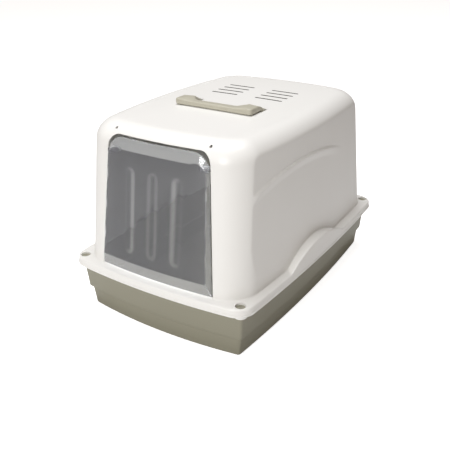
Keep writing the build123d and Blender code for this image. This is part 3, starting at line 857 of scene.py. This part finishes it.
def hood_fittings():
    """Meshes of everything that is moulded under the hood."""
    for x, y in corner_places:
        tube = [(HOLE_RADIUS, BOSS_LOW), (BOSS_RADIUS - BOSS_CHAMFER, BOSS_LOW),
                (BOSS_RADIUS, BOSS_LOW + BOSS_CHAMFER), (BOSS_RADIUS, BOSS_HIGH), (HOLE_RADIUS, BOSS_HIGH)]
        yield turned_solid("boss", tube, (x, y, 0))
    for side in (-1, 1):
        wide = well_outline(side * HANDLE_ARM_X, 4.0, 2.5, 2 * WELL_CORNER)
        slim = well_outline(side * HANDLE_ARM_X, 0.0, 0.0, WELL_CORNER)
        yield stacked_solid("well", [lift_z(WELL_LOW)(wide), lift_z(WELL_TOP)(wide),
                                     lift_z(WELL_TOP)(slim), lift_z(WELL_FLOOR)(slim)])
        y, z = DOOR_AXIS
        feet = [(y - 5.8, z + DOOR_LUG_RADIUS), (y - 7.3, z - DOOR_LUG_RADIUS)]
        yield lug_mesh("door_lug", DOOR_AXIS, DOOR_LUG_RADIUS, -np.pi / 2, feet, BRACKET_X, side)
        y, z = FILTER_AXIS
        feet = [(y + FILTER_LUG_RADIUS, ROOF_UNDERSIDE), (y - FILTER_LUG_RADIUS, ROOF_UNDERSIDE)]
        yield lug_mesh("filter_lug", FILTER_AXIS, FILTER_LUG_RADIUS, -np.pi, feet, FILTER_LUG_X, side)


hood_extra = finish_piece("hood_fittings", joined_mesh("hood_fittings", hood_fittings()), white_plastic)
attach(hood_extra, "hood")
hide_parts("hood_shell")

# %% [markdown]
# The tray is a deep two-tier pan. Its lower tier is drawn in, with a small step that stiffens the wall. The
# rim carries the hood, and the pegs in the corners show through the flange's holes.

# %% Tray
TRAY_FLOOR = 3.0
TRAY_CORNER, RIM_CORNER = 3.5, 18.0
RIM_INSET = 10.0
ROOM_RADIUS, ROOM_LOW, ROOM_HIGH = 11.9, 84.5, 106.0
POST_X, POST_Y, POST_RADIUS, POST_LOW, POST_HIGH = 157.5, 244.5, 7.0, 72.5, 84.4
PEG_RADIUS, PEG_LOW, PEG_HIGH = 8.2, 84.3, 101.5


def tray_ring(inset, height, corner=TRAY_CORNER):
    """One level of the tray."""
    x, y = plan_ring(FLANGE["half_x"] - inset, FLANGE["front"] + inset, FLANGE["rear"] - inset, corner)
    return join_levels(x, y, np.full(x.shape, height))


def tray_profile():
    """(inset, height) down the inside and up the outside of the tray's wall, from floor to floor."""
    quarter = np.linspace(0, np.pi / 2, 7)
    low = np.column_stack([29.0 - 5.0 * np.sin(quarter), 5.5 - 5.5 * np.cos(quarter)])
    lower = [(23.0, 18.0), (21.6, 32.0), (21.2, 37.2)]
    step = [(20.9, 37.8), (20.5, 38.1), (17.6, 39.2), (17.1, 39.7), (16.9, 40.6)]
    upper = [(16.0, 55.0), (14.8, 70.0), (13.4, 85.0), (12.3, 97.2)]
    rim = [(11.8, 97.9), (6.8, 98.0), (6.1, 98.6), (6.1, 100.3), (6.7, 101.0), (14.4, 101.0), (15.1, 100.4)]
    outside = np.concatenate([low, lower, step, upper, rim])
    inside = np.concatenate([
        [(15.4, 97.0), (16.5, 85.0), (17.8, 70.0), (19.1, 55.0), (19.9, 43.4), (20.3, 42.4), (21.4, 41.6)],
        [(22.4, 40.6), (23.6, 39.6), (24.0, 38.0), (24.8, 30.0), (26.0, 18.0)],
        np.column_stack([30.0 - 3.0 * np.cos(quarter), 6.0 - 3.0 * np.sin(quarter)]),
    ])
    return outside, inside


def tray_rings():
    """Levels of the tray from the middle of its underside, round the rim, to the middle of its floor."""
    outside, inside = tray_profile()
    wall_rings = np.stack([tray_ring(i, z, RIM_CORNER if i < RIM_INSET else TRAY_CORNER) for i, z in outside])
    floor_rings = np.stack([tray_ring(i, z) for i, z in inside])
    under = wall_rings[0] * np.linspace(0.02, 1, 8)[:-1, None, None]
    over = floor_rings[-1] * np.concatenate([[0.999], np.linspace(1, 0.02, 8)[1:]])[:, None, None]
    over[..., 2] = TRAY_FLOOR
    return np.concatenate([under, wall_rings, floor_rings, over])


tray = finish_piece("tray_pan", stacked_solid("tray_pan", tray_rings()), taupe_plastic)
room = [(NEAR_AXIS, ROOM_LOW), (ROOM_RADIUS, ROOM_LOW), (ROOM_RADIUS, ROOM_HIGH), (NEAR_AXIS, ROOM_HIGH)]
boss_rooms = [turned_solid("boss_room", room, (x, y, 0)) for x, y in corner_places]
cut(tray, joined_mesh("boss_rooms", boss_rooms))
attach(tray, "tray")
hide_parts("litter_tray")


def peg_meshes():
    """Pegs at the tray's corners, each with a short post beside it, inside the wall."""
    for x, y in corner_places:
        yield turned_solid("peg", rounded_disc(PEG_RADIUS, PEG_LOW, PEG_HIGH, 1.4), (x, y, 0))
        post_place = (np.sign(x) * POST_X, np.sign(y) * POST_Y, 0)
        yield turned_solid("post", rounded_disc(POST_RADIUS, POST_LOW, POST_HIGH, 0.6), post_place)


pegs = finish_piece("tray_pegs", joined_mesh("tray_pegs", peg_meshes()), taupe_plastic)
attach(pegs, "tray")
print("tray faces:", len(tray.data.polygons))

# %% [markdown]
# The door is one clear sheet that fills the entrance. It follows the wall's bow and lean, its middle is
# raised behind a bevel that widens downwards, and three shallow flutes with round tops stiffen it. It casts
# no shadow, so that the lamps light the inside as they do through a real clear sheet.

# %% Door
DOOR_LOW, DOOR_HIGH = 106.5, 333.5
DOOR_HALF_LOW, DOOR_HALF_HIGH = 112.5, 96.5
DOOR_CORNER = 28.0
DOOR_SKIN = 2.5
DOOR_RAISE_LOW, DOOR_RAISE_HIGH = 9.0, 4.5
DOOR_BEVEL_TOP, DOOR_LIP = 18.0, 22.0
DOOR_SIDE_LOW, DOOR_SIDE_HIGH = 6.5, 2.0
FLUTE_PITCH, FLUTE_WIDTH, FLUTE_DEPTH = 48.0, 30.0, 1.6
FLUTE_LOW, FLUTE_HIGH = 140.0, 295.0
KNUCKLE_LENGTH, KNUCKLE_RADIUS, KNUCKLE_BORE = 16, 4.5, 2.1


def wall_front(x, z):
    """y of the entrance wall's face: it leans back, and bows forward in the middle."""
    edge_x = FLANGE["half_x"] - LEDGE_WIDTH - BOW_X - (z - LEDGE) * SIDE_LEAN
    return wall_ends(z - LEDGE)[0] + BOW_Y * (x / edge_x) ** 2


def door_straight_half(z):
    """Half width of the door at a height, before its top corners are rounded."""
    share = (z - DOOR_LOW) / (DOOR_HIGH - DOOR_LOW)
    return DOOR_HALF_LOW + (DOOR_HALF_HIGH - DOOR_HALF_LOW) * share


def door_half(z):
    """Half width of the door at a height: near the top the corner's arc takes over."""
    into = np.clip(z - (DOOR_HIGH - DOOR_CORNER), 0, DOOR_CORNER)
    return door_straight_half(z) - (DOOR_CORNER - np.sqrt(DOOR_CORNER**2 - into**2))


def door_raise(x, z):
    """How far the door's face stands out from the wall: bevelled at the rim, fluted in the middle."""
    beside = door_straight_half(z) - np.abs(x)
    above, below = DOOR_HIGH - z, z - DOOR_LOW
    share = np.clip((z - DOOR_LOW) / (DOOR_HIGH - DOOR_LOW), 0, 1)
    side_bevel = DOOR_SIDE_LOW + (DOOR_SIDE_HIGH - DOOR_SIDE_LOW) * share
    top_share, side_share = above / DOOR_BEVEL_TOP, beside / side_bevel
    in_corner = (beside < DOOR_CORNER) & (above < DOOR_CORNER)
    round_off = DOOR_CORNER - np.hypot(DOOR_CORNER - beside, DOOR_CORNER - above)
    angle = np.arctan2(DOOR_CORNER - above, np.maximum(DOOR_CORNER - beside, 1e-6))
    corner_bevel = side_bevel + (DOOR_BEVEL_TOP - side_bevel) * np.clip(angle / (np.pi / 2), 0, 1)
    share_up = np.where(in_corner, round_off / corner_bevel, np.minimum(top_share, side_share))
    share_up = np.clip(np.minimum(share_up, below / DOOR_LIP), 0, 1)
    rise = DOOR_RAISE_LOW + (DOOR_RAISE_HIGH - DOOR_RAISE_LOW) * share
    flute_x = np.abs(x)
    to_flute = np.minimum(flute_x, np.abs(flute_x - FLUTE_PITCH))
    past_top = np.clip(z - (FLUTE_HIGH - FLUTE_WIDTH / 2), 0, None)
    past_low = np.clip((FLUTE_LOW + FLUTE_WIDTH / 2) - z, 0, None)
    from_middle = np.hypot(to_flute, past_top + past_low)
    flute = FLUTE_DEPTH * (1 - smooth_step(from_middle, 0.0, FLUTE_WIDTH / 2))
    return rise * share_up - flute


def door_sheet():
    """Closed bowed sheet: front grid, back grid a skin's thickness behind, and the rim between them."""
    near_edge = np.array([0, 0.6, 1.2, 2, 3, 4, 5, 6, 7, 8.5, 10])
    rows_low = DOOR_LOW + np.array([0, 0.6, 1.5, 3, 6, 9, 12, 15, 18, 20, 21, 22, 23.5, 26])
    rows_mid = np.linspace(DOOR_LOW + 29, DOOR_HIGH - DOOR_CORNER - 3, 62)
    rows_top = DOOR_HIGH - DOOR_CORNER * (1 - np.sin(np.linspace(0, np.pi / 2, 26)))
    z = np.concatenate([rows_low, rows_mid, rows_top])[:, None]
    half_width = door_half(z)
    middle = np.linspace(-1, 1, 110)[None, 1:-1] * (half_width - near_edge[-1])
    left = -half_width + near_edge[None]
    x = np.concatenate([left, middle, -left[:, ::-1]], axis=1)
    z = np.broadcast_to(z, x.shape)
    front = wall_front(x, z) - door_raise(x, z)
    rows, columns = x.shape
    points = np.concatenate([np.stack([x, front, z], -1).reshape(-1, 3),
                             np.stack([x, front + DOOR_SKIN, z], -1).reshape(-1, 3)])
    r, c = np.arange(rows - 1)[:, None], np.arange(columns - 1)[None]
    first = r * columns + c
    face = np.stack([first, first + 1, first + columns + 1, first + columns], -1).reshape(-1, 4)
    rim = np.concatenate([np.arange(columns), np.arange(1, rows) * columns + columns - 1,
                          (rows - 1) * columns + np.arange(columns - 1)[::-1],
                          np.arange(1, rows - 1)[::-1] * columns])
    rim_next = np.roll(rim, -1)
    back = rows * columns
    side = np.stack([rim, rim + back, rim_next + back, rim_next], -1)
    return new_mesh("door_sheet", points, np.concatenate([face, face[:, ::-1] + back, side]).tolist())


def door_fittings():
    """Two knuckles behind the sheet, each on a short web."""
    for side in (-1, 1):
        near, far = sorted((side * (DOOR_EDGE_X - KNUCKLE_LENGTH), side * DOOR_EDGE_X))
        y, z = DOOR_AXIS
        chamfered = KNUCKLE_RADIUS - 0.4
        tube = [(KNUCKLE_BORE, near), (chamfered, near), (KNUCKLE_RADIUS, near + 0.4),
                (KNUCKLE_RADIUS, far - 0.4), (chamfered, far), (KNUCKLE_BORE, far)]
        yield turned_solid("knuckle", tube, (0, y, z), "x", 32)
        web = np.array([(y - 12, z - 3.1), (y - 3.4, z - 3.1), (y - 3.4, z + 3.1), (y - 11.3, z + 3.1)])
        yield extruded_solid("web", web, push_x(near + 0.6), push_x(far - 0.6))


door = finish_piece("door_sheet", door_sheet(), door_plastic, 30.0)
door.visible_shadow = False
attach(door, "door")
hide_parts("door_flap")
door_extra = finish_piece("door_knuckles", joined_mesh("door_knuckles", door_fittings()), door_plastic)
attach(door_extra, "door")
print("door faces:", len(door.data.polygons))

# %% [markdown]
# The handle is a flat bail with wide ends. Its section is carried along a U from one pivot to the other:
# each station has an outer and an inner point, and the section spans them with rounded edges. The arms get
# lower towards the pivots, so that their ends clear the roof when the handle folds up.

# %% Handle
HANDLE_LOW, HANDLE_HIGH = 352.5, 363.0
HANDLE_OUT, HANDLE_IN = 78.0, 54.0
HANDLE_FRONT, HANDLE_REAR = -81.0, -64.0
HANDLE_END = -34.5
HANDLE_ROUND = 10.0
HANDLE_EDGE = 3.0
HANDLE_TURN, HANDLE_CORNER = 18.0, 5.0
HANDLE_DIP, HANDLE_DIP_SPAN = 1.6, (40, 64)
HANDLE_SLOPE, HANDLE_SLOPE_START, HANDLE_SLOPE_RUN = 7.5, -52.0, 17.5
HANDLE_PIVOT = (-38.0, 347.0)


def even_points(points, count):
    """Points at even steps along a path."""
    points = np.asarray(points, dtype=float)
    run = np.concatenate([[0], np.cumsum(np.linalg.norm(np.diff(points, axis=0), axis=1))])
    at = np.linspace(0, run[-1], count)
    return np.column_stack([np.interp(at, run, points[:, 0]), np.interp(at, run, points[:, 1])])


def arc_points(centre, radius, start, stop, count=10):
    """Points on a circular arc, angles in degrees."""
    angle = np.radians(np.linspace(start, stop, count))
    return np.asarray(centre) + radius * np.column_stack([np.cos(angle), np.sin(angle)])


def handle_paths():
    """Outer and inner edges of the bail in plan, left half then mirrored right half."""
    turn_y = HANDLE_REAR + HANDLE_TURN
    end_y = HANDLE_END - HANDLE_ROUND * (1 - np.sin(np.radians(np.linspace(90, 0, 7))))
    end_draw = HANDLE_ROUND * (1 - np.cos(np.radians(np.linspace(75, 0, 7))))
    outer_end = np.column_stack([-HANDLE_OUT + end_draw, end_y])
    inner_end = np.column_stack([-HANDLE_IN - end_draw, end_y])
    outer_corner = even_points(np.concatenate([
        [(-HANDLE_OUT, turn_y)],
        arc_points((-HANDLE_OUT + HANDLE_CORNER, HANDLE_FRONT + HANDLE_CORNER), HANDLE_CORNER, 180, 270),
        [(-HANDLE_IN + HANDLE_TURN, HANDLE_FRONT)]]), 34)
    inner_corner = arc_points((-HANDLE_IN + HANDLE_TURN, turn_y), HANDLE_TURN, 180, 270, 34)
    across = np.linspace(-HANDLE_IN + HANDLE_TURN, 0, 16)[1:]
    paths = []
    for end, corner, y in ((outer_end, outer_corner, HANDLE_FRONT), (inner_end, inner_corner, HANDLE_REAR)):
        path = np.concatenate([end, corner, np.column_stack([across, np.full(15, y)])])
        paths.append(np.concatenate([path, path[-2::-1] * np.array([-1.0, 1.0])]))
    return paths


def handle_mesh():
    """Rounded-rectangle section spanned between the edge paths: lower mid-bar, sloping to the arms' ends."""
    outer_path, inner_path = handle_paths()
    width = np.linalg.norm(inner_path - outer_path, axis=1)
    span = (inner_path - outer_path) / width[:, None]
    quarter = np.radians(np.linspace(0, 90, 6))
    edge = np.minimum(HANDLE_EDGE, width / 2.05)[:, None]
    bend_in, bend_up = edge * (1 - np.cos(quarter)), 1 - np.sin(quarter)
    x, y = (outer_path[:, 0] + inner_path[:, 0]) / 2, (outer_path[:, 1] + inner_path[:, 1]) / 2
    dip = HANDLE_DIP * (1 - smooth_step(np.abs(x), *HANDLE_DIP_SPAN))
    top = HANDLE_HIGH - dip - HANDLE_SLOPE * np.clip((y - HANDLE_SLOPE_START) / HANDLE_SLOPE_RUN, 0, 1)
    low = np.full(len(x), HANDLE_LOW)
    edge_v = np.minimum(HANDLE_EDGE, (top - low) / 2.1)[:, None]
    loop_s, loop_z = [], []
    for from_inner, at_top in ((False, False), (False, True), (True, True), (True, False)):
        order = slice(None, None, -1) if from_inner == at_top else slice(None)
        s = bend_in[:, order]
        rise = (edge_v * bend_up)[:, order]
        loop_s.append(width[:, None] - s if from_inner else s)
        loop_z.append(top[:, None] - rise if at_top else low[:, None] + rise)
    s, z = np.concatenate(loop_s, 1), np.concatenate(loop_z, 1)
    xy = outer_path[:, None] + span[:, None] * s[..., None]
    return stacked_solid("handle_bail", np.concatenate([xy, z[..., None]], -1)[:, ::-1])


def handle_knuckles():
    """Round ends in the wells, with their stubs."""
    y, z = HANDLE_PIVOT
    for side in (-1, 1):
        near, far = side * HANDLE_ARM_X - HANDLE_ARM_WIDTH / 2, side * HANDLE_ARM_X + HANDLE_ARM_WIDTH / 2
        for part, reach, radius, chamfer in (("knuckle", 0.0, 7.0, 0.8), ("stub", 4.4, 2.9, 0.3)):
            low, high = near - reach, far + reach
            profile = [(NEAR_AXIS, low), (radius - chamfer, low), (radius, low + chamfer),
                       (radius, high - chamfer), (radius - chamfer, high), (NEAR_AXIS, high)]
            yield turned_solid(part, profile, (0, y, z), "x")
        neck = np.array([(y - 5.5, z + 3), (y + 5.5, z + 3), (y + 3.4, z + 8), (y - 9, z + 8)])
        yield extruded_solid("neck", neck, push_x(near + 1), push_x(far - 1))


handle = finish_piece("handle_bail", handle_mesh(), handle_lit_plastic, 40.0)
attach(handle, "handle")
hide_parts("carry_handle")
knuckle_mesh = joined_mesh("handle_knuckles", handle_knuckles())
handle_extra = finish_piece("handle_knuckles", knuckle_mesh, handle_lit_plastic)
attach(handle_extra, "handle")

# %% [markdown]
# The door's pins, the filter cover and its carbon mat have the right shape in the CAD model, so they stay and
# only get their materials.

# %% Materials of the carried-over pieces
carried_over = {"door_pin_left": inner_white, "door_pin_right": inner_white, "filter_cover": inner_white,
                "carbon_filter": black_foam}
for node_name, material in carried_over.items():
    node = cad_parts[node_name]
    node.data.materials.clear()
    node.data.materials.append(material)
